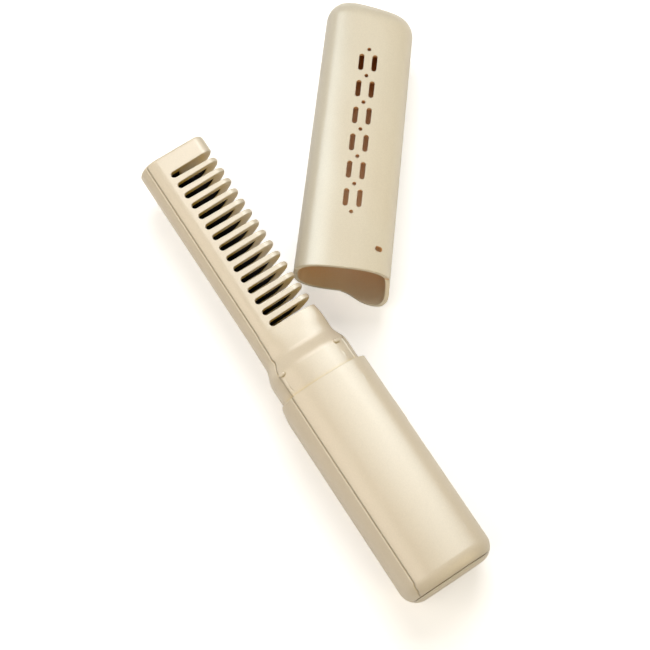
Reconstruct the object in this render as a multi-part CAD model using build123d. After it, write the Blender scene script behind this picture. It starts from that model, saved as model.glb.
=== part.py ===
from build123d import *
from math import cos, sin, tan, pi, radians, sqrt, copysign
import os

os.makedirs("parts", exist_ok=True)

# Cordless hot comb with a vented slip-off cap. Millimetres.
# The comb lies along +Y with its head at +Y, its teeth toward +X and its front face toward +Z.
# The origin is the centre of the flat end of the handle.

# ---- handle and shells
handle_length = 88.4
handle_width = 38.4
handle_depth = 31.0
section_power = 2.8
shell_wall = 1.8
end_round = 7.0
end_cover_length = 1.6
seam_width = 0.35
seam_depth = 0.5
seam_below_front = 2.8
seam_end_drop = 3.3
seam_turn_x = 8.0
seam_side_drop = 9.2
seam_collar_drop = 3.3

# ---- cap that slides over the collar
cap_wall = 1.7
cap_clearance = 0.35
cap_taper = 1.2
cap_end_clearance = 0.4
cap_slope = 11.0
cap_crown = 8.0
cap_crown_inside = 5.5
cap_rest_x = 29.2
cap_rest_y = 120.25
cap_rest_turn = -39.4

# ---- collar and neck
collar_length = 9.6
flare_length = 7.7
neck_length = 10.4
neck_right = 14.9
neck_rear_drop = 3.2
neck_crown_x = -0.6
skin_step = 0.04

# ---- toothed head
tooth_count = 14
tooth_pitch = 5.17
gap_width = 2.7
tip_half_width = 0.9
gap_root_x = -5.5
tooth_reach = 19.3
end_block = 8.46
nose_length = 4.0
nose_fall = 3.0
spine_left = -15.2
head_front_z = 10.3
head_rear_z = -6.0
blade_rear_z = -0.5
head_seam_below = 1.5
neck_seam_below = 2.28
front_guard = 2.7
head_wall = 1.6
head_end_wall = 2.0
head_end_round = 1.4
thick_rim = 10.0
tub_start = 6.3

# ---- heating comb and heater
bar_width = 5.15
bar_floor_z = 1.5
fin_share = 0.72
fin_clearance = 0.15
fin_slope = 4.6
stub_reach = 4.0
stub_width = 2.0
ptc_thickness = 1.5
ptc_width = 3.2
ptc_count = 3
electrode_thickness = 0.3
film_thickness = 0.15

# ---- latch
latch_length = 2.9
latch_width = 1.8
latch_height = 0.85
latch_root = 1.0
latch_x = 12.2
latch_tilt = 30.0
latch_above_step = 9.8
latch_clearance = 0.15
rail_height = 0.25
rail_width = 0.6

# ---- cap tongue and vents
tongue_length = 6.0
tongue_gap = 0.4
tongue_top_z = 6.5
tongue_full_z = -10.0
tongue_left_x = 0.0
tongue_full_x = 17.0
vent_rows = 6
vent_pitch = 11.7
vent_width = 2.0
vent_length = 7.2
vent_spacing = 5.3
vent_x = 1.0
first_vent_above_lip = 29.0
dot_diameter = 1.5

# ---- electronics
cell_diameter = 18.4
cell_length = 65.0
cell_x = -6.5
cell_z = -3.2
cell_start = 9.0
board_thickness = 1.2
board_top_z = 8.2
board_length = 71.0
board_start = 4.6
board_left = -12.0
board_right = 13.0
side_board_x = 11.4
side_board_thickness = 1.0
button_y = 64.0
button_z = -1.0
button_length = 12.0
button_width = 6.0
button_travel = 0.5
button_clearance = 0.3
button_proud = 0.35
usb_width = 8.94
usb_height = 3.26
usb_depth = 7.3
usb_clearance = 0.15
lens_diameter = 1.8
lens_count = 3
lens_pitch = 4.0
lens_start = 45.0
screw_shank = 2.0
screw_length = 14.0
screw_head = 3.8
screw_head_height = 1.6
screw_clearance = 0.1
post_diameter = 6.0
post_join_z = -2.0
screw_seat = 2.7
fit_gap = 0.1
wire_diameter = 1.2
thin_wire_diameter = 0.8
fuse_diameter = 2.4
fuse_length = 7.0
bulkhead_thickness = 2.0
tab_length = 2.0
bead_diameter = 2.4
bead_length = 2.0
fuse_before_neck = 6.2
cover_depth = 4.2
cover_inset = 4.0
cover_gap = 0.2
cover_wall = 1.4
usb_start = 0.5
plunger_fit = 0.1
cap_seat_gap = 0.3

def surface_x(z, inset=0.0):
    """Half width of the handle's section at height z."""
    share = 1 - (abs(z) / (b_handle - inset)) ** section_power
    return (a_handle - inset) * share ** (1 / section_power)


def surface_z(x, inset=0.0):
    """Half depth of the handle's section at width x."""
    share = 1 - (abs(x) / (a_handle - inset)) ** section_power
    return (b_handle - inset) * share ** (1 / section_power)


# ---- derived places
a_handle = handle_width / 2
b_handle = handle_depth / 2
inset_collar = cap_wall + cap_clearance
y_step = handle_length
y_flare = y_step + collar_length
y_neck = y_flare + flare_length
y_last_gap = y_neck + neck_length + gap_width / 2
y_first_gap = y_last_gap + tooth_count * tooth_pitch
y_neck_end = y_neck + neck_length - 0.2
y_end = y_first_gap + gap_width / 2 + end_block
tip_x = gap_root_x + tooth_reach
spine_radius = (head_front_z - head_rear_z) / 2
spine_z = (head_front_z + head_rear_z) / 2
spine_x = spine_left + spine_radius
z_part_handle = b_handle - seam_below_front
z_part_collar = b_handle - inset_collar - seam_below_front
z_part_head = head_front_z - head_seam_below
z_part_neck = head_front_z - neck_seam_below
z_guard = head_front_z - front_guard
bar_right = gap_root_x - fin_clearance
bar_left = bar_right - bar_width
bar_top = z_guard - 0.2
y_bar0 = y_last_gap - gap_width / 2 - 1.0
y_bar1 = y_end - 2.6
y_latch = y_step + latch_above_step
y_teeth0 = y_last_gap - gap_width / 2
y_teeth1 = y_first_gap + gap_width / 2
y_tub = y_neck + tub_start
fin_end_x = gap_root_x + fin_share * tooth_reach
tub_right = gap_root_x - head_wall
stub_x = gap_root_x + stub_reach
y_stub = y_teeth1 + stub_width
board_under_z = board_top_z - board_thickness
cell_end = cell_start + cell_length
x_heater = (bar_left + tub_right) / 2
y_heater0 = y_bar0 + 3.0
y_heater1 = y_bar1 - 4.0
z_film = bar_floor_z
z_electrode = z_film - film_thickness
z_ptc = z_electrode - electrode_thickness
z_ptc_under = z_ptc - ptc_thickness
z_film_under = z_ptc_under - electrode_thickness - film_thickness
switch_x = side_board_x + side_board_thickness
switch_height = 2.0
plunger_diameter = 3.2
flange_x = surface_x(button_z - button_width / 2 - 1, shell_wall) - button_clearance
stem_tip_x = flange_x - 1.1
plunger_tip_x = stem_tip_x - button_clearance
y_fuse = y_neck - fuse_before_neck
y_bulkhead = y_fuse + fuse_length
fuse_x = -4.5
x_sensor = x_heater - 0.9
z_sensor = (bar_top + bar_floor_z) / 2
cap_inner_top = y_end + cap_end_clearance + tan(radians(cap_slope)) * tip_x
cap_outer_top = cap_inner_top + cap_wall
screw_places = [(10.5, 14.0), (10.5, y_step - 8.0), (9.5, y_step + 3.8), (-9.5, y_step + 3.8)]


def loop(y, left, right, rear, front, crown_x, power_left, power_right, count=40):
    """Rounded closed section at one y, with its own roundness on each side."""
    cz = (front + rear) / 2
    b = (front - rear) / 2
    pts = []
    for i in range(count):
        t = 2 * pi * (i + 0.5) / count
        power = power_right if cos(t) > 0 else power_left
        a = right - crown_x if cos(t) > 0 else crown_x - left
        x = crown_x + a * copysign(abs(cos(t)) ** (2 / power), cos(t))
        z = cz + b * copysign(abs(sin(t)) ** (2 / power), sin(t))
        pts.append(Vector(x, y, z))
    return make_face(Spline(pts, periodic=True))


def ring(y, a, b):
    """Section of the grip or collar."""
    return loop(y, -a, a, -b, b, 0.0, section_power, section_power)


def box(x0, x1, y0, y1, z0, z1):
    """Plain block between two corners."""
    size = (x1 - x0, y1 - y0, z1 - z0)
    centre = ((x0 + x1) / 2, (y0 + y1) / 2, (z0 + z1) / 2)
    return Pos(*centre) * Box(*size)


def prism_xz(points, y0, y1):
    """Polygon in the XZ plane carried from y0 to y1."""
    wire = Polyline([Vector(x, y0, z) for x, z in points], close=True)
    return extrude(make_face(wire), amount=y1 - y0, dir=(0, 1, 0))


def prism_yz(points, x0, x1):
    """Polygon in the YZ plane carried from x0 to x1."""
    wire = Polyline([Vector(x0, y, z) for y, z in points], close=True)
    return extrude(make_face(wire), amount=x1 - x0, dir=(1, 0, 0))


def rod(x, z, diameter, y0, y1):
    """Round bar along Y."""
    turn = Rotation(90, 0, 0)
    return Pos(x, (y0 + y1) / 2, z) * turn * Cylinder(diameter / 2, y1 - y0)


def post(x, y, diameter, z0, z1):
    """Round bar along Z."""
    return Pos(x, y, (z0 + z1) / 2) * Cylinder(diameter / 2, z1 - z0)


def peg(y, z, diameter, x0, x1):
    """Round bar along X."""
    return Pos((x0 + x1) / 2, y, z) * Rotation(0, 90, 0) * Cylinder(diameter / 2, x1 - x0)


# ---- outer form, built at any inset from the skin
def grip(inset, y0, y1):
    """Straight grip of the handle."""
    face = ring(y0, a_handle - inset, b_handle - inset)
    return extrude(face, amount=y1 - y0, dir=(0, 1, 0))


def rounded_grip(inset, y_stop):
    """Grip with its rounded end."""
    body = grip(inset, inset, y_stop)
    return fillet(body.edges().group_by(Axis.Y)[0], end_round - inset)


def flare(inset):
    """Soft step from the collar down to the neck."""
    a0 = a_handle - inset_collar - inset
    b0 = b_handle - inset_collar - inset
    left1 = spine_left + inset
    right1 = neck_right - inset
    front1 = head_front_z - inset
    rear1 = head_rear_z - neck_rear_drop + inset
    rings = []
    for i in range(5):
        k = (1 - cos(pi * i / 4)) / 2
        y = y_flare + flare_length * i / 4
        sides = (-a0 + (left1 + a0) * k, a0 + (right1 - a0) * k)
        faces = (-b0 + (rear1 + b0) * k, b0 + (front1 - b0) * k)
        rings.append(loop(y, *sides, *faces, neck_crown_x * k, section_power, section_power))
    return loft(rings)


def neck(inset, y_stop):
    """Block that blends from the flare to the foot of the teeth."""
    left1 = spine_left + inset
    rings = []
    for i in range(6):
        share = i / 5 * (y_stop - y_neck) / (y_neck_end - y_neck)
        k = (1 - cos(pi * share)) / 2
        y = y_neck + (y_neck_end - y_neck) * share
        right = neck_right - inset - (neck_right - tip_x - skin_step) * share ** 2
        rear = head_rear_z + inset - neck_rear_drop * (1 - k)
        front = head_front_z - inset + skin_step * k
        crown = neck_crown_x + (spine_x - neck_crown_x) * k
        powers = (section_power + (2.0 - section_power) * k, section_power + 2.2 * k)
        rings.append(loop(y, left1 - skin_step * k, right, rear, front, crown, *powers))
    return loft(rings)


def collar(inset, y0):
    """Straight collar under the cap."""
    face = ring(y0, a_handle - inset_collar - inset, b_handle - inset_collar - inset)
    return extrude(face, amount=y_flare - y0, dir=(0, 1, 0))


def spine(inset, y0, y1):
    """Half-round back of the head."""
    r = spine_radius - inset
    pts = [(spine_x, spine_z + r), (spine_x, spine_z - r)]
    pts += [(gap_root_x, spine_z - r), (gap_root_x, spine_z + r)]
    return rod(spine_x, spine_z, 2 * r, y0, y1) + prism_xz(pts, y0, y1)


def nose_face(y, reach, top, floor):
    """Side profile of a tooth: rounded toward the front, sloped back toward the rear."""
    start = reach - nose_length
    brow = (reach - nose_length / 3, y, top - nose_fall / 3)
    tip = (reach, y, top - nose_fall)
    chin = (reach - 1.2, y, (top + floor) / 2 - 0.4)
    low = (reach - 5.0, y, floor)
    root = spine_x + 1.0
    edges = [
        Line((root, y, top), (start, y, top)),
        ThreePointArc((start, y, top), brow, tip),
        ThreePointArc(tip, chin, low),
        Line(low, (root, y, floor)),
        Line((root, y, floor), (root, y, top)),
    ]
    return make_face(edges)


def blade():
    """Block that the teeth are cut from."""
    y0 = y_neck_end
    face = nose_face(y0, tip_x, head_front_z, blade_rear_z)
    return extrude(face, amount=y_end - y0, dir=(0, 1, 0))


def gap_face(y, grow=0.0):
    """Plan outline of one gap, rounded at its root and flared at the tips."""
    h = gap_width / 2 + grow
    half = tooth_pitch / 2
    t = half - tip_half_width + grow
    r = tip_half_width - grow
    xr = gap_root_x + gap_width / 2
    xt = tip_x - tip_half_width
    edges = [
        Line((xr, y + h), (xt, y + t)),
        ThreePointArc((xt, y + t), (xt + r * 0.7071, y + t + r * 0.2929), (xt + r, y + half)),
        Line((xt + r, y + half), (xt + r + 3, y + half)),
        Line((xt + r + 3, y + half), (xt + r + 3, y - half)),
        Line((xt + r + 3, y - half), (xt + r, y - half)),
        ThreePointArc((xt + r, y - half), (xt + r * 0.7071, y - t - r * 0.2929), (xt, y - t)),
        Line((xt, y - t), (xr, y - h)),
        ThreePointArc((xr, y - h), (xr - h, y), (xr, y + h)),
    ]
    return make_face(edges)


def gaps(grow=0.0):
    """All the gaps between the teeth."""
    cut = Part()
    for i in range(tooth_count + 1):
        face = gap_face(y_last_gap + i * tooth_pitch, grow)
        tool = extrude(Pos(0, 0, blade_rear_z - 1) * face, amount=head_front_z - blade_rear_z + 2, dir=(0, 0, 1))
        cut += tool
    return cut


def outer_form(inset=0.0, teeth=True):
    """Whole outer form of the comb."""
    body = rounded_grip(inset, y_step - inset)
    body += collar(inset, y_step - thick_rim)
    body += flare(inset)
    body += neck(inset, y_neck_end)
    head = spine(inset, y_neck_end, y_end - inset)
    if teeth:
        head += blade()
        head = fillet(head.edges().group_by(Axis.Y)[-1], head_end_round)
        head -= gaps()
    return body + head


# ---- hollow of the shells
def fin_face(y, grow=0.0):
    """Side profile of a fin: its end slopes back toward the rear."""
    top = bar_top + (z_guard - bar_top) * (grow > 0)
    end = fin_end_x + grow
    low = end - fin_slope
    left = bar_left - grow
    edges = [
        Line((left, y, bar_floor_z), (low, y, bar_floor_z)),
        ThreePointArc((low, y, bar_floor_z), (end - 0.33 * fin_slope, y, (bar_floor_z + top) / 2), (end, y, top)),
        Line((end, y, top), (left, y, top)),
        Line((left, y, top), (left, y, bar_floor_z)),
    ]
    return make_face(edges)


def fin_block(grow, y0, y1):
    """Fin profile carried along the row of teeth."""
    return extrude(fin_face(y0, grow), amount=y1 - y0, dir=(0, 1, 0))


def bar_pocket():
    """Room for the heating comb in the head."""
    g = fin_clearance
    pocket = fin_block(g, y_teeth0, y_teeth1)
    pocket += box(bar_left - g, bar_right + g, y_bar0 - g, y_bar1 + g, bar_floor_z, z_guard)
    pocket += box(bar_right - 1, stub_x + g, y_teeth1 - 1, y_stub + g, bar_floor_z, z_guard)
    return pocket


def hollow():
    """Empty space inside the two shells."""
    rim = y_step - thick_rim
    space = grip(cover_inset, end_cover_length - 0.5, cover_depth)
    space += grip(shell_wall, cover_depth, rim)
    space += collar(shell_wall, rim - 1)
    space += flare(shell_wall)
    space += neck(shell_wall, y_tub)
    tub = spine(head_wall, y_tub, y_end - head_end_wall)
    tub -= box(tub_right, tip_x, y_tub - 1, y_end, -b_handle, b_handle)
    tub -= box(bar_left - fin_clearance, tip_x, y_bar0 - 3, y_end, z_guard, b_handle)
    return space + tub + bar_pocket()


def side_wedge(y0, z0, drop0, y1, z1, drop1):
    """Piece of the front region right of the turn, where the parting line falls toward the side."""
    faces = []
    for y, z, drop in ((y0, z0, drop0), (y1, z1, drop1)):
        pts = [(seam_turn_x, z), (a_handle + 1, z - drop), (a_handle + 1, handle_depth), (seam_turn_x, handle_depth)]
        faces.append(make_face(Polyline([Vector(x, y, h) for x, h in pts], close=True)))
    return loft(faces, ruled=True)


def front_region(drop=0.0):
    """Everything in front of the parting line, which steps down with the body."""
    stations = [
        (-2, z_part_handle - 2 * seam_end_drop, seam_side_drop),
        (end_cover_length, z_part_handle - seam_end_drop, seam_side_drop),
        (0.57 * end_round, z_part_handle - 0.3 * seam_end_drop, seam_side_drop),
        (end_round, z_part_handle, seam_side_drop),
        (y_step, z_part_handle, seam_side_drop),
        (y_step, z_part_collar, seam_collar_drop),
        (y_flare, z_part_collar, seam_collar_drop),
        (y_neck, z_part_neck, seam_side_drop),
        (y_teeth0, z_part_head, seam_side_drop),
    ]
    line = [(y, z - drop) for y, z, side in stations]
    line += [(y_end + 2, z_part_head - drop), (y_end + 2, handle_depth), (-2, handle_depth)]
    region = prism_yz(line, -handle_width, handle_width)
    for (y0, z0, drop0), (y1, z1, drop1) in zip(stations, stations[1:]):
        if y1 > y0:
            region += side_wedge(y0, z0 - drop, drop0, y1, z1 - drop, drop1)
    return region


def tooth_region():
    """Space of the front guards, which reach deeper than the parting line."""
    left = bar_left - fin_clearance
    return box(left, tip_x + 2, y_teeth0, y_teeth1, z_guard, handle_depth)


def seam_groove():
    """Shallow groove that shows where the shells meet."""
    slab = front_region(seam_width) - front_region()
    slab -= box(gap_root_x - 2, tip_x + 2, y_neck_end, y_end + 3, -b_handle, b_handle)
    inner = rounded_grip(seam_depth, y_step - seam_depth)
    inner += collar(seam_depth, y_step - thick_rim)
    inner += flare(seam_depth)
    inner += neck(seam_depth, y_neck_end)
    inner += spine(seam_depth, y_neck_end, y_end - seam_depth)
    return slab - inner


def tongue_edge(start, end, shares, grow):
    """Points of one tongue outline: distance across against distance below the lip."""
    pts = []
    for across, down in shares:
        pts.append((start + (end - start) * across, y_step + 0.01 - (tongue_length + grow) * down))
    return pts


def tongue_form(grow=0.0):
    """Rear corner tongue of the cap: a side outline and a plan outline crossed."""
    top = y_step + 3
    far = handle_width
    shares = ((0, 0), (0.21, 0.3), (0.4, 0.68), (0.7, 0.88), (1, 1))
    side = tongue_edge(tongue_top_z + grow, tongue_full_z, shares, grow)
    side = [Vector(-far, y, z) for z, y in side]
    low = Vector(-far, side[-1].Y, -far)
    corner = Vector(-far, top, -far)
    edges = [Spline(side), Polyline([side[-1], low, corner, Vector(-far, top, side[0].Z), side[0]])]
    form = extrude(make_face(edges), amount=2 * far, dir=(1, 0, 0))
    shares = ((0, 0), (0.2, 0.18), (0.45, 0.57), (0.65, 0.8), (1, 1))
    plan = tongue_edge(tongue_left_x - grow, tongue_full_x, shares, grow)
    plan = [Vector(x, y, -far) for x, y in plan]
    low = Vector(far, plan[-1].Y, -far)
    corner = Vector(far, top, -far)
    edges = [Spline(plan), Polyline([plan[-1], low, corner, Vector(plan[0].X, top, -far), plan[0]])]
    return form & extrude(make_face(edges), amount=2 * far, dir=(0, 0, 1))


def tongue_recesses():
    """Recess that the tongue drops into, and its twin on the spine side."""
    core = ring(y_step - 2 * thick_rim, a_handle - inset_collar, b_handle - inset_collar)
    core = extrude(core, amount=3 * thick_rim, dir=(0, 1, 0))
    cut = (tongue_form(tongue_gap) & box(-a_handle, a_handle + 1, 0, y_step, -handle_depth, handle_depth)) - core
    return cut + mirror(cut, about=Plane.YZ)


def latch_pill(side, margin, low, high):
    """Pill across the collar's edge at one latch, from one height to another along the skin's normal."""
    pill = extrude(SlotOverall(latch_length + 2 * margin, latch_width + 2 * margin), amount=high - low)
    z = surface_z(latch_x, inset_collar)
    return Pos(side * latch_x, y_latch, z) * Rotation(0, side * latch_tilt, 0) * Pos(0, 0, low) * pill


def latch_bumps():
    """Two pill-shaped bumps on the collar, beside its seams."""
    bumps = Part()
    for side in (-1, 1):
        pill = latch_pill(side, 0.0, -latch_root, latch_height)
        rim = pill.faces().sort_by(lambda face: face.center().Z)[-1].edges()
        bumps += fillet(rim, 0.5)
    return bumps


def guide_rails():
    """Low rails along the collar's seams, from the handle up to the bumps."""
    core = ring(y_step, a_handle - inset_collar + rail_height, b_handle - inset_collar + rail_height)
    band = extrude(core, amount=y_latch - y_step, dir=(0, 1, 0))
    core = ring(y_step, a_handle - inset_collar - 0.3, b_handle - inset_collar - 0.3)
    band -= extrude(core, amount=y_latch - y_step, dir=(0, 1, 0))
    left = z_part_collar
    right = z_part_collar - seam_collar_drop * (latch_x + 3 - seam_turn_x) / (a_handle + 1 - seam_turn_x)
    strips = box(-a_handle, 0, y_step, y_latch, left, left + rail_width)
    strips += box(0, a_handle, y_step, y_latch, right + 0.1, right + 0.1 + rail_width)
    return band & strips


# ---- shells
def shell_wall_at(x, y):
    """Depth of the outer skin at one screw."""
    return surface_z(x, inset_collar if y > y_step else 0.0)


def screw_posts():
    """Posts of the rear shell that carry the screws."""
    posts = Part()
    for x, y in screw_places:
        skin = shell_wall_at(x, y)
        posts += post(x, y, post_diameter, -skin + 0.8, post_join_z)
    return posts


def screw_holes():
    """Through holes and counterbores in the posts."""
    holes = Part()
    for x, y in screw_places:
        skin = shell_wall_at(x, y)
        holes += post(x, y, screw_shank + 2 * screw_clearance, -skin - 1, post_join_z + 1)
        holes += post(x, y, screw_head + 4 * screw_clearance, -skin - 1, -skin + screw_seat)
    return holes


def front_bosses():
    """Bosses of the front shell that the screws bite into."""
    bosses = Part()
    for x, y in screw_places:
        skin = shell_wall_at(x, y)
        bosses += post(x, y, post_diameter - 0.6, post_join_z, skin - 0.9)
    for x, y in screw_places:
        top = screw_length - shell_wall_at(x, y) + screw_seat + 1.0
        bosses -= post(x, y, screw_shank + 2 * screw_clearance, post_join_z - 1, top)
    return bosses


def board_ledges():
    """Ledges on the left wall and uprights on the right that carry the control board."""
    ledges = Part()
    x1 = surface_x(board_under_z, 0.9)
    for y in (20.0, 58.0):
        ledges += box(-x1, board_left + 1.2, y, y + 4, board_under_z - 1.4, board_under_z)
    for y in (20.0, 36.0):
        ledges += box(board_right - 1.2, board_right + 1.2, y, y + 4, 0.9 - surface_z(board_right + 1.2), board_under_z)
    return ledges


def button_slot(grow, x0, x1):
    """Pill-shaped prism along X at the power button."""
    plane = Plane(origin=(x0, button_y, button_z), x_dir=(0, 1, 0), z_dir=(1, 0, 0))
    face = plane * SlotOverall(button_length + 2 * grow, button_width + 2 * grow)
    return extrude(face, amount=x1 - x0, dir=(1, 0, 0))


def lens_pegs(diameter, x0, x1):
    """Round pegs of the indicator windows."""
    pegs = Part()
    for i in range(lens_count):
        pegs += peg(lens_start + i * lens_pitch, button_z, diameter, x0, x1)
    return pegs


def make_shells():
    """Front shell and rear shell."""
    walls = outer_form() + latch_bumps() + guide_rails()
    walls -= hollow()
    walls -= box(-a_handle - 1, a_handle + 1, -1, end_cover_length + cover_gap, -handle_depth, handle_depth)
    region = front_region() + tooth_region()
    front = walls & region
    rear = walls - region
    front += front_bosses()
    rear -= seam_groove()
    rear -= tongue_recesses()
    for x, y in screw_places:
        rear -= post(x, y, post_diameter - 0.6 + 2 * fit_gap, post_join_z, b_handle)
    rear += screw_posts()
    rear -= screw_holes()
    rear += board_ledges()
    rear -= button_slot(button_clearance, flange_x - 1, a_handle + 2)
    rear -= lens_pegs(lens_diameter + fit_gap, flange_x - 1, a_handle + 2)
    return front, rear


def make_end_cover():
    """Rounded cover that closes the end of the handle, with the charging opening."""
    cover = rounded_grip(0.0, y_step)
    cover &= box(-a_handle - 1, a_handle + 1, -1, end_cover_length, -handle_depth, handle_depth)
    cover += grip(cover_inset + fit_gap, end_cover_length, cover_depth)
    cover -= grip(cover_inset + fit_gap + cover_wall, end_cover_length, cover_depth + 1)
    z = board_under_z - usb_height / 2
    port = Pos(0, 0, z) * Rotation(90, 0, 0) * SlotOverall(usb_width + 2 * usb_clearance, usb_height + 2 * usb_clearance)
    cover -= extrude(port, amount=3 * end_cover_length, both=True)
    return cover


# ---- cap
def cap_skin(inset, y_top, crown):
    """Tapered closed tube with a sloped, rounded top."""
    y0 = y_step - tongue_length
    y1 = y_top + 12
    drop = cap_taper * (y1 - y0) / (cap_outer_top - y0)
    wide = ring(y0, a_handle - inset, b_handle - inset)
    narrow = ring(y1, a_handle - inset - drop, b_handle - inset - drop)
    body = loft([wide, narrow])
    rise = tan(radians(cap_slope)) * handle_width
    line = [(-handle_width, y_top + rise), (handle_width, y_top - rise)]
    line += [(handle_width, y_top + 30), (-handle_width, y_top + 30)]
    wire = Polyline([Vector(x, y, -handle_depth) for x, y in line], close=True)
    body -= extrude(make_face(wire), amount=2 * handle_depth, dir=(0, 0, 1))
    return fillet(body.faces().sort_by(Axis.Y)[-1].edges(), crown)


def vent_tools():
    """Slots and dots of the vent column, cut through the front wall only."""
    tools = Part()
    z1 = handle_depth
    turn = Rotation(0, 0, 90)
    for i in range(vent_rows):
        y = y_step + first_vent_above_lip + i * vent_pitch
        for side in (-1, 1):
            face = Pos(vent_x + side * vent_spacing / 2, y, 0) * turn * SlotOverall(vent_length, vent_width)
            tools += extrude(face, amount=z1, dir=(0, 0, 1))
    for i in range(vent_rows + 1):
        y = y_step + first_vent_above_lip + (i - 0.5) * vent_pitch
        tools += Pos(vent_x, y, 0) * Rotation(0, 0, 45) * post(0, 0, dot_diameter, 0.0, z1)
    return tools


def latch_windows():
    """Window for the bump on the tooth side and a blind pocket on the spine side."""
    return latch_pill(1, latch_clearance, -1.0, 6.0) + latch_pill(-1, latch_clearance, -1.0, cap_clearance + latch_height + 0.3)


def make_cap():
    """Vented cap, first in its closed place over the head."""
    cap = cap_skin(0.0, cap_outer_top, cap_crown) - cap_skin(cap_wall, cap_inner_top, cap_crown_inside)
    y0 = y_step - tongue_length - 1
    below = box(-a_handle - 2, a_handle + 2, y0, y_step + cap_seat_gap, -handle_depth, handle_depth)
    cap -= below - tongue_form()
    cap -= vent_tools()
    cap -= latch_windows()
    return cap


def to_rest(shape):
    """Carry the cap from its closed place to where it lies beside the comb."""
    return Pos(cap_rest_x, cap_rest_y, 0) * Rotation(0, 0, cap_rest_turn) * Pos(0, -y_step, 0) * shape


# ---- heating parts
def make_heating_comb():
    """Bar with one fin for each tooth and a short one at the end block."""
    fins = fin_block(0.0, y_teeth0, y_teeth1) - gaps(fin_clearance)
    comb = fins + box(bar_left, bar_right, y_bar0, y_bar1, bar_floor_z, bar_top)
    comb += box(bar_right - 1, stub_x, y_teeth1 + fin_clearance, y_stub, bar_floor_z, bar_top)
    return comb


def make_ptc():
    """Row of ceramic heating tiles."""
    tiles = Part()
    step = (y_heater1 - y_heater0 - 2) / ptc_count
    for i in range(ptc_count):
        y = y_heater0 + 1 + i * step
        tiles += box(x_heater - ptc_width / 2, x_heater + ptc_width / 2, y, y + step - 0.4, z_ptc_under, z_ptc)
    return tiles


def make_electrodes():
    """Contact strips over and under the tiles, with tabs toward the handle."""
    h = ptc_width / 2
    y0 = y_heater0 - tab_length
    upper = box(x_heater - h, x_heater + h, y0, y_heater1 - 1, z_ptc, z_electrode)
    under = box(x_heater - h, x_heater + h, y0, y_heater1 - 1, z_ptc_under - electrode_thickness, z_ptc_under)
    return upper + under


def make_film():
    """Insulating film sleeve round the heater stack."""
    h = ptc_width / 2
    t = film_thickness
    sleeve = box(x_heater - h - t, x_heater + h + t, y_heater0, y_heater1, z_film_under, z_film)
    return sleeve - box(x_heater - h, x_heater + h, y_heater0 - 1, y_heater1 + 1, z_film_under + t, z_electrode)


def make_heater_bed():
    """Ceramic bed that presses the stack against the bar."""
    h = ptc_width / 2 + film_thickness
    bed = box(x_heater - h, x_heater + h, y_heater0, y_heater1, head_rear_z, z_film_under)
    bed &= spine(head_wall, y_tub, y_end - head_end_wall)
    for i in range(4):
        y = y_heater0 + 6 + i * (y_heater1 - y_heater0 - 18) / 3
        bed -= box(x_heater - h - 1, x_heater + h + 1, y, y + 6, spine_z - spine_radius + head_wall + 1, z_film_under - 1)
    return bed


def tube(points, diameter, radius):
    """Wire along straight runs joined by arcs."""
    path = FilletPolyline(*points, radius=radius)
    start = Plane(origin=path @ 0, z_dir=path % 0)
    return sweep(start * Circle(diameter / 2), path=path)


def wire_routes():
    """Routes of the two heater wires and the fuse's own lead."""
    z_pad = board_top_z + wire_diameter / 2
    z_up = z_ptc - wire_diameter / 2
    z_low = z_ptc_under - electrode_thickness - wire_diameter / 2
    y_pad = board_start + board_length - 3.0
    y_tab = y_heater0 - 0.6
    y_in = y_tub - 1
    xh = x_heater - 0.6
    fused = [(fuse_x, y_pad, z_pad), (fuse_x, y_pad + 11, z_pad), (fuse_x, y_step + 8, z_up), (fuse_x, y_fuse, z_up)]
    lead = [(fuse_x, y_bulkhead, z_up), (fuse_x, y_bulkhead + bulkhead_thickness, z_up)]
    lead += [(xh, y_in, z_up), (xh, y_tab, z_up)]
    plain = [(-1.0, y_pad, z_pad), (-1.0, y_pad + 11, z_pad), (-1.0, y_step + 8, z_low)]
    plain += [(-1.0, y_bulkhead, z_low), (xh + 0.6, y_in, z_low), (xh + 0.6, y_tab, z_low)]
    return fused, lead, plain


def sensor_routes():
    """Routes of the two thermistor leads."""
    z_pad = board_top_z + thin_wire_diameter / 2
    y_pad = board_start + board_length - 3.0
    z = z_sensor
    routes = []
    for k in (0, 1):
        x0 = 2.2 - 1.2 * k
        x1 = x_sensor - 0.6 + 1.2 * (1 - k)
        routes.append([(x0, y_pad, z_pad), (x0, y_pad + 11, z_pad), (x0, y_step + 8, z), (x0, y_fuse + 2 - k, z),
                       (x1, y_tub - 0.8 - k, z), (x1, y_bar0 - bead_length, z)])
    return routes


def make_heater_wires(extra=0.0):
    """Heater wires."""
    wires = Part()
    for route in wire_routes():
        wires += tube(route, wire_diameter + 2 * extra, 1.6)
    return wires


def make_sensor_wires(extra=0.0):
    """Thermistor leads."""
    wires = Part()
    for route in sensor_routes():
        wires += tube(route, thin_wire_diameter + 2 * extra, 1.6)
    return wires


def make_bulkhead():
    """Heat barrier across the neck, with holes for the wires."""
    plate = neck(shell_wall, y_tub)
    plate &= box(-a_handle, a_handle, y_bulkhead, y_bulkhead + bulkhead_thickness, -b_handle, b_handle)
    plate -= make_heater_wires(fit_gap)
    plate -= make_sensor_wires(fit_gap)
    return plate


# ---- handle parts
def make_cradle():
    """Two saddles on a strip that hold the cell in the rear shell."""
    inside = grip(shell_wall, cover_depth, y_step - thick_rim)
    r = cell_diameter / 2
    blocks = Part()
    for y in (cell_start + 9, cell_end - 15):
        blocks += box(cell_x - r - 3, cell_x + r + 1.5, y, y + 5, -b_handle, cell_z + 1)
    blocks += box(cell_x - 3, cell_x + 3, cell_start + 9, cell_end - 10, -b_handle, cell_z - r)
    return (blocks & inside) - rod(cell_x, cell_z, cell_diameter, cell_start - 1, cell_end + 1)


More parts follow.
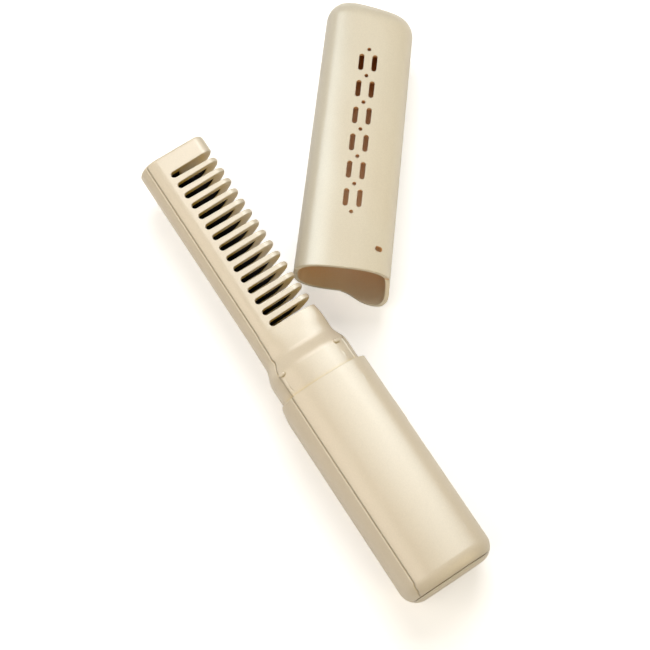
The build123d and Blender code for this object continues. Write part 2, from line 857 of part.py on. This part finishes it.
def make_tabs():
    """Nickel strips from both ends of the cell up to the control board."""
    t = 0.3
    h = 3.0
    tabs = box(cell_x - h, cell_x + h, cell_start - t, cell_start, cell_z - h, board_under_z)
    tabs += box(cell_x - h, cell_x + h, cell_end, cell_end + t, cell_z - h, board_under_z)
    return tabs


def make_foam():
    """Foam pad between the cell and the control board."""
    pad = box(cell_x - 4, cell_x + 4, 26, 56, cell_z + cell_diameter / 2 - 1.2, board_under_z)
    return pad - rod(cell_x, cell_z, cell_diameter, 20, 60)


def make_board():
    """Control board with clearance round the screw posts."""
    y1 = board_start + board_length
    board = box(board_left, board_right, board_start, y1, board_under_z, board_top_z)
    for x, y in screw_places:
        board -= post(x, y, post_diameter + 0.6, board_under_z - 1, board_top_z + 1)
    return board


def make_chips():
    """Controller, charger, transistor, coil and wire pads on the board."""
    z = board_top_z
    chips = box(-4.5, 2.5, 34, 41, z, z + 1.1)
    chips += box(-8.0, -3.0, 14, 19, z, z + 0.9)
    chips += box(-6.5, 0.5, 50, 57, z, z + 2.6)
    chips += box(3.5, 9.5, 46, 52, z, z + 1.3)
    for i in range(5):
        chips += box(4.5, 6.1, 24 + 3.4 * i, 24.8 + 3.4 * i, z, z + 0.6)
    for i in range(4):
        chips += box(-9.6, -8.0, 26 + 4.2 * i, 26.8 + 4.2 * i, z, z + 0.6)
    return chips


def make_usb():
    """Charging socket: a thin shell round a tongue."""
    z = board_under_z - usb_height / 2
    face = Pos(0, usb_start, z) * Rotation(90, 0, 0) * SlotOverall(usb_width, usb_height)
    socket = extrude(face, amount=usb_depth, dir=(0, 1, 0))
    face = Pos(0, usb_start, z) * Rotation(90, 0, 0) * SlotOverall(usb_width - 0.6, usb_height - 0.6)
    socket -= extrude(face, amount=usb_depth - 0.8, dir=(0, 1, 0))
    socket += box(-3.3, 3.3, usb_start + 0.8, usb_start + usb_depth - 0.4, z - 0.35, z + 0.35)
    return socket


def make_side_board():
    """Small board that stands under the control board and carries the switch."""
    x0 = side_board_x
    return box(x0, x0 + side_board_thickness, lens_start - 2.5, button_y + 8, button_z - 5, board_under_z)


def make_switch():
    """Body of the push switch."""
    body = box(switch_x, switch_x + switch_height, button_y - 3, button_y + 3, button_z - 3, button_z + 3)
    return body - peg(button_y, button_z, plunger_diameter + 2 * plunger_fit, switch_x + 0.5, switch_x + 5)


def make_plunger():
    """Plunger of the push switch."""
    x0 = switch_x + 0.5 + button_travel + fit_gap
    return peg(button_y, button_z, plunger_diameter, x0, plunger_tip_x)


def make_button():
    """Power button: cap, retaining flange and stem."""
    skin = grip(-button_proud, button_y - button_length, button_y + button_length)
    cap = button_slot(0.0, flange_x - 0.1, a_handle + 2) & skin
    flange = button_slot(0.9, flange_x - 0.8, flange_x)
    return cap + flange + peg(button_y, button_z, 3.0, stem_tip_x, flange_x - 0.4)


def make_leds():
    """Indicator lamps on the side board."""
    lamps = Part()
    for i in range(lens_count):
        y = lens_start + i * lens_pitch
        lamps += box(switch_x, switch_x + 0.7, y - 0.8, y + 0.8, button_z - 0.4, button_z + 0.4)
    return lamps


def make_lens():
    """Clear light guide behind the three indicator windows."""
    skin = grip(0.0, lens_start - 5, lens_start + lens_count * lens_pitch + 5)
    x0 = switch_x + 0.7 + button_clearance
    y0 = lens_start - 1.2
    y1 = lens_start + (lens_count - 1) * lens_pitch + 1.2
    return (lens_pegs(lens_diameter, x0, a_handle + 1) & skin) + box(x0, x0 + 1.0, y0, y1, button_z - 1.2, button_z + 1.2)


def make_screws():
    """Four identical screws from the rear."""
    screws = Part()
    for x, y in screw_places:
        seat = -shell_wall_at(x, y) + screw_seat
        screw = post(x, y, screw_head, seat - screw_head_height, seat)
        screw += post(x, y, screw_shank, seat, seat + screw_length)
        screw -= box(x - 1.3, x + 1.3, y - 0.25, y + 0.25, seat - screw_head_height - 0.1, seat - screw_head_height + 0.7)
        screw -= box(x - 0.25, x + 0.25, y - 1.3, y + 1.3, seat - screw_head_height - 0.1, seat - screw_head_height + 0.7)
        screws += screw
    return screws


front_shell, rear_shell = make_shells()
nodes = {
    "front_shell": front_shell,
    "rear_shell": rear_shell,
    "end_cover": make_end_cover(),
    "cap": to_rest(make_cap()),
    "heating_comb": make_heating_comb(),
    "ptc_tiles": make_ptc(),
    "heater_electrodes": make_electrodes(),
    "heater_film": make_film(),
    "heater_bed": make_heater_bed(),
    "thermistor": rod(x_sensor, z_sensor, bead_diameter, y_bar0 - bead_length, y_bar0),
    "thermal_fuse": rod(fuse_x, z_ptc - wire_diameter / 2, fuse_diameter, y_fuse, y_fuse + fuse_length),
    "heater_wires": make_heater_wires(),
    "sensor_wires": make_sensor_wires(),
    "neck_bulkhead": make_bulkhead(),
    "battery_cell": rod(cell_x, cell_z, cell_diameter, cell_start, cell_end),
    "battery_cradle": make_cradle(),
    "battery_tabs": make_tabs(),
    "foam_pad": make_foam(),
    "control_board": make_board(),
    "board_chips": make_chips(),
    "usb_c_socket": make_usb(),
    "side_board": make_side_board(),
    "push_switch": make_switch(),
    "switch_plunger": make_plunger(),
    "power_button": make_button(),
    "indicator_lamps": make_leds(),
    "indicator_lens": make_lens(),
    "shell_screws": make_screws(),
}

for name, shape in nodes.items():
    shape.label = name
    export_step(shape, f"parts/{name}.step")
    print(name, len(shape.solids()), round(shape.volume, 1))
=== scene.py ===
import math

import bpy
from mathutils import Matrix, Vector


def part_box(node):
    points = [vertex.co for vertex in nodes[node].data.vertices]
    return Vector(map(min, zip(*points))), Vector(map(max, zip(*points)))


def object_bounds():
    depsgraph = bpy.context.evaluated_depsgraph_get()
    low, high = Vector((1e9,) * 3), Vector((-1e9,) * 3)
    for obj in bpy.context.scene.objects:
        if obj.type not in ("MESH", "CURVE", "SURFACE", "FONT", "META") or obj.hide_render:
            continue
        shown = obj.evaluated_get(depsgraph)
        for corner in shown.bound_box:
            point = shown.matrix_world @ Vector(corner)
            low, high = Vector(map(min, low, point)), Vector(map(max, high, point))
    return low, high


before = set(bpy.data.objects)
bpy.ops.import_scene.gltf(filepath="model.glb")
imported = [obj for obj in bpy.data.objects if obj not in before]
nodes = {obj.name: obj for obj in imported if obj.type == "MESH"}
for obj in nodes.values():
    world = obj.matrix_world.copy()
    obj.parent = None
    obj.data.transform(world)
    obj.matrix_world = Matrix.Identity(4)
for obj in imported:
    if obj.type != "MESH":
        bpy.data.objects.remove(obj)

# Lengths are in metres, powers in watts, and colours are linear.
MM = 0.001
cad_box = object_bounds()


# ---------------------------------------------------------------- nodes
class Graph:
    """A node tree with short ways to add and join nodes."""

    def __init__(self, tree):
        self.tree = tree

    def add(self, kind, sockets=None, **values):
        """New node; sockets holds input values, and the rest are the node's own settings."""
        node = self.tree.nodes.new(kind)
        for key, value in values.items():
            setattr(node, key, value)
        for key, value in (sockets or {}).items():
            node.inputs[key].default_value = value
        return node

    def link(self, out, into):
        self.tree.links.new(out, into)

    def ramp(self, value, low, high, out_low=0.0, out_high=1.0):
        """Value carried from one range to another, held at its ends."""
        limits = {"From Min": low, "From Max": high, "To Min": out_low, "To Max": out_high}
        node = self.add("ShaderNodeMapRange", limits)
        self.link(value, node.inputs["Value"])
        return node.outputs[0]

    def by_camera_ray(self, other, camera):
        """Shows one shader to the camera and the other to every other ray."""
        path = self.add("ShaderNodeLightPath")
        mix = self.add("ShaderNodeMixShader")
        self.link(path.outputs["Is Camera Ray"], mix.inputs[0])
        self.link(other.outputs[0], mix.inputs[1])
        self.link(camera.outputs[0], mix.inputs[2])
        return mix


class Shader(Graph):
    """One node material round a Principled shader."""

    NOISE_LOW, NOISE_HIGH = 0.3, 0.7
    EDGE_SAMPLES = 6
    EDGE_FLAT = 0.995
    SHADE_SAMPLES = 8
    MIX_FACTOR, MIX_A, MIX_B, MIX_RESULT = 0, 6, 7, 2  # a Mix node's sockets for colours
    SOCKETS = {
        "metallic": "Metallic",
        "specular": "Specular IOR Level",
        "coat": "Coat Weight",
        "coat_roughness": "Coat Roughness",
    }

    def __init__(self, name):
        self.material = bpy.data.materials.new(name)
        self.material.use_nodes = True
        super().__init__(self.material.node_tree)
        self.bsdf = self.tree.nodes["Principled BSDF"]
        self.place = self.add("ShaderNodeTexCoord").outputs["Object"]

    def noise(self, scale, detail=2.0, stretch=None):
        """Noise value; scale is in waves per metre."""
        node = self.add("ShaderNodeTexNoise", {"Scale": scale, "Detail": detail})
        source = self.place
        if stretch:
            mapping = self.add("ShaderNodeMapping", {"Scale": stretch})
            self.link(source, mapping.inputs["Vector"])
            source = mapping.outputs[0]
        self.link(source, node.inputs["Vector"])
        return node.outputs["Fac"]

    def clouds(self, scale, out_low=0.0, out_high=1.0, detail=3.0):
        """Noise spread over the whole range between two values."""
        value = self.noise(scale, detail)
        return self.ramp(value, self.NOISE_LOW, self.NOISE_HIGH, out_low, out_high)

    def cells(self, scale):
        """Random value in each small cell."""
        node = self.add("ShaderNodeTexVoronoi", {"Scale": scale})
        self.link(self.place, node.inputs["Vector"])
        channels = self.add("ShaderNodeSeparateColor")
        self.link(node.outputs["Color"], channels.inputs[0])
        return channels.outputs[0]

    def math(self, kind, a, b):
        """Product or difference of output a and b, which is a number or an output."""
        node = self.add("ShaderNodeMath", operation=kind)
        self.link(a, node.inputs[0])
        if isinstance(b, float):
            node.inputs[1].default_value = b
        else:
            self.link(b, node.inputs[1])
        return node.outputs[0]

    def mix(self, factor, a, b, blend="MIX"):
        """Mix of two colours; each is a tuple or an output."""
        node = self.add("ShaderNodeMix", data_type="RGBA", blend_type=blend)
        if isinstance(factor, float):
            node.inputs[self.MIX_FACTOR].default_value = factor
        else:
            self.link(factor, node.inputs[self.MIX_FACTOR])
        for socket, value in ((self.MIX_A, a), (self.MIX_B, b)):
            if isinstance(value, tuple):
                node.inputs[socket].default_value = (*value, 1.0)
            else:
                self.link(value, node.inputs[socket])
        return node.outputs[self.MIX_RESULT]

    def rounded(self, radius):
        """Normal of the surface as if its edges were rounded."""
        node = self.add("ShaderNodeBevel", {"Radius": radius}, samples=self.EDGE_SAMPLES)
        return node.outputs[0]

    def edge(self, radius, gain):
        """1 along convex and concave edges, 0 on the flat."""
        normal = self.rounded(radius)
        true = self.add("ShaderNodeNewGeometry")
        dot = self.add("ShaderNodeVectorMath", operation="DOT_PRODUCT")
        self.link(normal, dot.inputs[0])
        self.link(true.outputs["Normal"], dot.inputs[1])
        return self.ramp(dot.outputs["Value"], 1.0 - gain, self.EDGE_FLAT, 1.0, 0.0)

    def shade(self, distance, local):
        """0 deep in a gap or inside the part, 1 in the open."""
        node = self.add("ShaderNodeAmbientOcclusion", {"Distance": distance},
                        samples=self.SHADE_SAMPLES, only_local=local)
        return node.outputs["AO"]

    def bump(self, layers, round_edges):
        """Rounded edges under (height output, depth, strength) layers of bump."""
        normal = self.rounded(round_edges)
        for height, depth, strength in layers:
            node = self.add("ShaderNodeBump", {"Distance": depth, "Strength": strength})
            self.link(height, node.inputs["Height"])
            self.link(normal, node.inputs["Normal"])
            normal = node.outputs[0]
        self.link(normal, self.bsdf.inputs["Normal"])

    def color(self, out):
        self.link(out, self.bsdf.inputs["Base Color"])

    def rough(self, out):
        self.link(out, self.bsdf.inputs["Roughness"])

    def set(self, **values):
        for key, value in values.items():
            self.bsdf.inputs[self.SOCKETS[key]].default_value = value


# ---------------------------------------------------------------- camera
CAMERA_EYE = Vector((-63.3, -4.04, 480.0)) * MM
CAMERA_RIGHT = Vector((0.83799, -0.54564, 0.00675)).normalized()
CAMERA_BACK = Vector((-0.1525, -0.2223, 0.963)).normalized()
CLIP_NEAR, CLIP_FAR = 0.01, 20.0
FOCAL_PIXELS = 1280.0
FRAME_LOWERED = 4.5  # pixels, so that the cap's top stays in the picture
IMAGE_PIXELS = 650
SENSOR = 36.0


def make_camera():
    """Camera at the photograph's viewing angle."""
    data = bpy.data.cameras.new("camera")
    data.sensor_fit = "HORIZONTAL"
    data.sensor_width = SENSOR
    data.lens = FOCAL_PIXELS / IMAGE_PIXELS * SENSOR
    data.shift_y = FRAME_LOWERED / IMAGE_PIXELS
    data.clip_start = CLIP_NEAR
    data.clip_end = CLIP_FAR
    camera = bpy.data.objects.new("camera", data)
    back = CAMERA_BACK
    right = (CAMERA_RIGHT - back * CAMERA_RIGHT.dot(back)).normalized()
    up = back.cross(right)
    turn = Matrix((right, up, back)).transposed().to_4x4()
    camera.matrix_world = Matrix.Translation(CAMERA_EYE) @ turn
    bpy.context.scene.collection.objects.link(camera)
    bpy.context.scene.camera = camera


# ---------------------------------------------------------------- surroundings and floor
WORLD_LIGHT = (1.0, 0.94, 0.80)
WORLD_STRENGTH = 0.22

FLOOR_DROP = 0.2 * MM
FLOOR_HALF = 3.0
FLOOR_GREY = (0.86, 0.86, 0.86)
# Distances from the origin, and the strength of the floor's glow there.
FLOOR_NEAR, FLOOR_GLOW_NEAR = 0.3, 0.42
FLOOR_FAR, FLOOR_GLOW_FAR = 1.6, 0.85


def make_world():
    """Dim warm surroundings that the camera sees as plain white."""
    world = bpy.data.worlds.new("studio")
    bpy.context.scene.world = world
    world.use_nodes = True
    g = Graph(world.node_tree)
    g.tree.nodes.clear()
    out = g.add("ShaderNodeOutputWorld")
    shown = g.add("ShaderNodeBackground", {"Color": (1, 1, 1, 1), "Strength": 1.0})
    light = g.add("ShaderNodeBackground", {"Color": (*WORLD_LIGHT, 1), "Strength": WORLD_STRENGTH})
    g.link(g.by_camera_ray(light, shown).outputs[0], out.inputs["Surface"])


def floor_white():
    """Grey-white diffuse surface with a glow that only the camera sees."""
    material = bpy.data.materials.new("floor_white")
    material.use_nodes = True
    g = Graph(material.node_tree)
    g.tree.nodes.clear()
    out = g.add("ShaderNodeOutputMaterial")
    diffuse = g.add("ShaderNodeBsdfDiffuse", {"Color": (*FLOOR_GREY, 1)})
    place = g.add("ShaderNodeTexCoord")
    away = g.add("ShaderNodeVectorMath", operation="LENGTH")
    g.link(place.outputs["Object"], away.inputs[0])
    strength = g.ramp(away.outputs["Value"], FLOOR_NEAR, FLOOR_FAR, FLOOR_GLOW_NEAR, FLOOR_GLOW_FAR)
    glow = g.add("ShaderNodeEmission")
    g.link(strength, glow.inputs["Strength"])
    dark = g.add("ShaderNodeEmission", {"Strength": 0.0})
    both = g.add("ShaderNodeAddShader")
    g.link(diffuse.outputs[0], both.inputs[0])
    g.link(g.by_camera_ray(dark, glow).outputs[0], both.inputs[1])
    g.link(both.outputs[0], out.inputs["Surface"])
    return material


def make_floor():
    """Pale floor that keeps a soft shadow and turns whiter with distance."""
    z = cad_box[0].z - FLOOR_DROP
    s = FLOOR_HALF
    mesh = bpy.data.meshes.new("floor")
    mesh.from_pydata([(-s, -s, z), (s, -s, z), (s, s, z), (-s, s, z)], [], [(0, 1, 2, 3)])
    mesh.materials.append(floor_white())
    floor = bpy.data.objects.new("floor", mesh)
    bpy.context.scene.collection.objects.link(floor)
    return floor


# ---------------------------------------------------------------- lamps
LAMP_AIM = Vector((0.02, 0.11, 0.0))
CAP_AXIS = Vector((0.6347, 0.7727, 0.0))
CAP_GLOW_SIZE = (8.0 * MM, 84.0 * MM)
CAP_GLOW_POWER = 0.0006
CAP_GLOW_COLOR = (1.0, 0.42, 0.14)


def new_lamp(name, size, power, color, on):
    """Rectangular lamp that lights everything, or only the objects listed in on."""
    data = bpy.data.lights.new(name, "AREA")
    data.shape = "RECTANGLE"
    data.size, data.size_y = size
    data.energy = power
    data.color = color
    lamp = bpy.data.objects.new(name, data)
    bpy.context.scene.collection.objects.link(lamp)
    if on:
        receivers = bpy.data.collections.new(name + "_receivers")
        lamp.light_linking.receiver_collection = receivers
        for obj in on:
            receivers.objects.link(obj)
    return lamp


def area_light(name, direction, distance, size, power, color, on=(), part="all"):
    """Soft lamp over the comb; part "sheen" makes only glints, and "body" makes none."""
    lamp = new_lamp(name, size, power, color, on)
    toward = Vector(direction).normalized()
    lamp.location = LAMP_AIM + toward * distance
    lamp.rotation_euler = toward.to_track_quat("Z", "Y").to_euler()
    lamp.visible_diffuse = part != "sheen"
    lamp.visible_glossy = part != "body"


def make_cap_glow():
    """Warm light that the thin wall of the cap lets through to its inside."""
    low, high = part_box("cap")
    lamp = new_lamp("cap_glow", CAP_GLOW_SIZE, CAP_GLOW_POWER, CAP_GLOW_COLOR, [nodes["cap"]])
    lamp.location = (Vector(low) + Vector(high)) / 2
    lamp.rotation_euler = (0.0, 0.0, math.atan2(-CAP_AXIS.x, CAP_AXIS.y))
    lamp.visible_camera = False


def make_lamps(floor):
    """The comb and the floor share one set of lamps, and the cap has its own."""
    comb_side = [obj for name, obj in nodes.items() if name != "cap"] + [floor]
    area_light("key", direction=(0.34, 0.52, 0.78), distance=1.0, size=(0.60, 0.6),
               power=6.7, color=(1.0, 0.985, 0.97), on=comb_side)
    area_light("key_sheen", direction=(0.51, 0.14, 0.84), distance=1.0, size=(0.46, 1.0),
               power=6.8, color=(0.80, 0.93, 1.0), on=comb_side, part="sheen")
    area_light("fill", direction=(-0.6, 0.1, 0.75), distance=1.1, size=(0.8, 0.8),
               power=5.0, color=(1.0, 0.89, 0.76), on=comb_side)

    cap_side = [nodes["cap"]]
    area_light("cap_key", direction=(0.24, 0.32, 0.90), distance=1.0, size=(0.60, 0.6),
               power=6.9, color=(1.0, 0.985, 0.96), on=cap_side, part="body")
    area_light("cap_sheen", direction=(-0.27, 0.66, 0.71), distance=1.0, size=(0.50, 0.9),
               power=6.6, color=(0.85, 0.95, 1.0), on=cap_side, part="sheen")
    area_light("cap_mouth", direction=(-0.50, -0.68, 0.55), distance=1.1, size=(0.5, 0.5),
               power=4.2, color=(1.0, 0.88, 0.72), on=cap_side, part="body")
    make_cap_glow()

    area_light("low", direction=(0.30, -0.80, 0.50), distance=1.1, size=(0.5, 0.8),
               power=2.4, color=(1.0, 0.82, 0.48))


# ---------------------------------------------------------------- materials
CREAM = (0.695, 0.622, 0.495)
CREAM_DEEP = (0.655, 0.562, 0.415)
# Painted warm shade for the gaps, creases and tooth flanks of the body.
GOLD_PAINTED_SHADE = (0.64, 0.46, 0.08)
CAP_CREAM = (0.700, 0.648, 0.525)
# Painted warm shade that the inside of the cap and its slots take.
CAP_INSIDE_PAINTED_SHADE = (0.76, 0.42, 0.17)
BUTTON_PALER = 1.04
COATED_BLACK = (0.0022, 0.0022, 0.0024)

# Painted shade in recesses: how far a recess is looked for, and the open shares where the painted
# shade is full and where it is gone.
BODY_PAINTED_SHADE = (9.0 * MM, 0.34, 0.76)
CAP_PAINTED_SHADE = (26.0 * MM, 0.50, 0.94)

# Pearl plastic.
CLOUD_SCALE, CLOUD_SWING = 22.0, 0.02
FLOW_SCALE, FLOW_STRETCH, FLOW_SHARE = 60.0, (1.0, 0.25, 1.0), 0.22
FLOW_LOW, FLOW_HIGH = 0.35, 0.65
FLAKE_SCALE, FLAKE_DARK, FLAKE_PALE, FLAKE_SHARE = 3600.0, 0.96, 1.035, 0.8
POLISH_REACH, POLISH_GAIN, POLISH_SHARE, POLISH_PALER = 0.4 * MM, 0.35, 0.25, 1.12
POLISH_SMOOTHER = 0.06
SKIN_SCALE, SKIN_SMOOTH, SKIN_ROUGH = 140.0, 0.30, 0.38
COAT, COAT_ROUGHNESS = 0.6, 0.30
PEARL_ROUNDING = 0.7 * MM
WAVE_SCALE, WAVE_DEPTH, WAVE_STRENGTH = 420.0, 0.02 * MM, 0.35
GRAIN_SCALE, GRAIN_DEPTH, GRAIN_STRENGTH = 2600.0, 0.012 * MM, 0.45

# Plain surfaces.
DULL_SCALE, DULL_SWING = 90.0, 0.1
WORN_REACH, WORN_GAIN, WORN_SHARE, WORN_PALER = 0.3 * MM, 0.4, 0.3, 1.5
ROUGH_SCALE, ROUGH_SWING = 300.0, 0.06
MATTE_ROUNDING = 0.2 * MM
TOOTH_SCALE, TOOTH_DEPTH, TOOTH_STRENGTH = 1800.0, 0.02 * MM, 0.6


def scaled(color, k, lift=0.0):
    return tuple(min(1.0, c * k + lift) for c in color)


def pearl(name, base, painted_shade_color=GOLD_PAINTED_SHADE, painted_shade=BODY_PAINTED_SHADE, local=False):
    """Pearl plastic: cloudy colour, fine flake, satin skin, painted warm shade in recesses and
    polished edges.

    painted_shade_color is the colour painted as shade into the recesses. With local, only the piece
    itself closes them in.
    """
    s = Shader(name)
    cloud = s.clouds(CLOUD_SCALE)
    flow = s.ramp(s.noise(FLOW_SCALE, stretch=FLOW_STRETCH), FLOW_LOW, FLOW_HIGH)
    color = s.mix(cloud, scaled(base, 1.0 - CLOUD_SWING), scaled(base, 1.0 + CLOUD_SWING))
    color = s.mix(s.math("MULTIPLY", flow, FLOW_SHARE), color, CREAM_DEEP)
    flake = s.ramp(s.cells(FLAKE_SCALE), 0.0, 1.0, FLAKE_DARK, FLAKE_PALE)
    tint = s.add("ShaderNodeCombineColor")
    for channel in range(3):
        s.link(flake, tint.inputs[channel])
    color = s.mix(FLAKE_SHARE, color, tint.outputs[0], "MULTIPLY")
    polished = s.edge(POLISH_REACH, POLISH_GAIN)
    color = s.mix(s.math("MULTIPLY", polished, POLISH_SHARE), color, scaled(base, POLISH_PALER))
    # Painted shade: closed-in places take the shade colour, more of it the less open room is around
    # them.
    reach, full, gone = painted_shade
    s.color(s.mix(s.ramp(s.shade(reach, local), full, gone), painted_shade_color, color))
    skin = s.clouds(SKIN_SCALE, SKIN_SMOOTH, SKIN_ROUGH)
    s.rough(s.math("SUBTRACT", skin, s.math("MULTIPLY", polished, POLISH_SMOOTHER)))
    s.set(coat=COAT, coat_roughness=COAT_ROUGHNESS)
    waves = (s.noise(WAVE_SCALE, detail=1.0), WAVE_DEPTH, WAVE_STRENGTH)
    grain = (s.noise(GRAIN_SCALE), GRAIN_DEPTH, GRAIN_STRENGTH)
    s.bump([waves, grain], PEARL_ROUNDING)
    return s.material


def matte(name, base, roughness, metallic=0.0, shine=0.5, lift=0.02):
    """Plain moulded or coated surface with grain and paler edges."""
    s = Shader(name)
    cloud = s.clouds(DULL_SCALE)
    color = s.mix(cloud, scaled(base, 1.0 - DULL_SWING), scaled(base, 1.0 + DULL_SWING))
    worn = s.edge(WORN_REACH, WORN_GAIN)
    s.color(s.mix(s.math("MULTIPLY", worn, WORN_SHARE), color, scaled(base, WORN_PALER, lift)))
    s.rough(s.clouds(ROUGH_SCALE, roughness - ROUGH_SWING, roughness + ROUGH_SWING, detail=2.0))
    s.set(metallic=metallic, specular=shine)
    s.bump([(s.noise(TOOTH_SCALE), TOOTH_DEPTH, TOOTH_STRENGTH)], MATTE_ROUNDING)
    return s.material


def dress(material, *names):
    """Gives carried-over nodes a material."""
    for name in names:
        for entry in nodes[name].material_slots:
            entry.material = material


# Material, colour, roughness, metallic and the nodes that wear it.
PLAIN = (
    ("tile_grey", (0.12, 0.11, 0.10), 0.6, 0.0, ["ptc_tiles"]),
    ("strip_metal", (0.75, 0.75, 0.76), 0.3, 1.0, ["heater_electrodes", "thermal_fuse"]),
    ("amber_film", (0.55, 0.22, 0.03), 0.3, 0.0, ["heater_film"]),
    ("bed_ceramic", (0.75, 0.72, 0.66), 0.7, 0.0, ["heater_bed"]),
    ("sensor_bead", (0.4, 0.15, 0.05), 0.2, 0.0, ["thermistor"]),
    ("wire_red", (0.45, 0.03, 0.02), 0.45, 0.0, ["heater_wires"]),
    ("wire_white", (0.8, 0.8, 0.77), 0.45, 0.0, ["sensor_wires"]),
    ("inner_black", (0.03, 0.03, 0.03), 0.75, 0.0, ["neck_bulkhead", "battery_cradle", "foam_pad"]),
    ("cell_wrap", (0.03, 0.13, 0.32), 0.3, 0.0, ["battery_cell"]),
    ("nickel", (0.6, 0.58, 0.54), 0.35, 1.0, ["battery_tabs"]),
    ("board_green", (0.01, 0.1, 0.03), 0.35, 0.0, ["control_board", "side_board"]),
    ("chip_black", (0.02, 0.02, 0.02), 0.5, 0.0, ["board_chips", "push_switch"]),
    ("plated_steel", (0.6, 0.6, 0.62), 0.3, 1.0, ["usb_c_socket", "shell_screws"]),
    ("white_plastic", (0.8, 0.8, 0.77), 0.5, 0.0, ["switch_plunger", "indicator_lamps"]),
    ("frosted_guide", (0.85, 0.85, 0.82), 0.3, 0.0, ["indicator_lens"]),
)


def make_materials():
    dress(pearl("pearl_front", CREAM), "front_shell")
    dress(pearl("pearl_rear", CREAM), "rear_shell")
    dress(pearl("pearl_end", CREAM), "end_cover")
    dress(pearl("pearl_button", scaled(CREAM, BUTTON_PALER)), "power_button")
    dress(pearl("pearl_cap", CAP_CREAM, CAP_INSIDE_PAINTED_SHADE, CAP_PAINTED_SHADE, local=True), "cap")
    dress(matte("coated_black", COATED_BLACK, 0.8, shine=0.03, lift=0.001), "heating_comb")
    for name, base, roughness, metallic, wearers in PLAIN:
        dress(matte(name, base, roughness, metallic), *wearers)


# ---------------------------------------------------------------- the scene
bpy.context.scene.view_settings.view_transform = "Standard"
make_camera()
make_world()
make_lamps(make_floor())
make_materials()
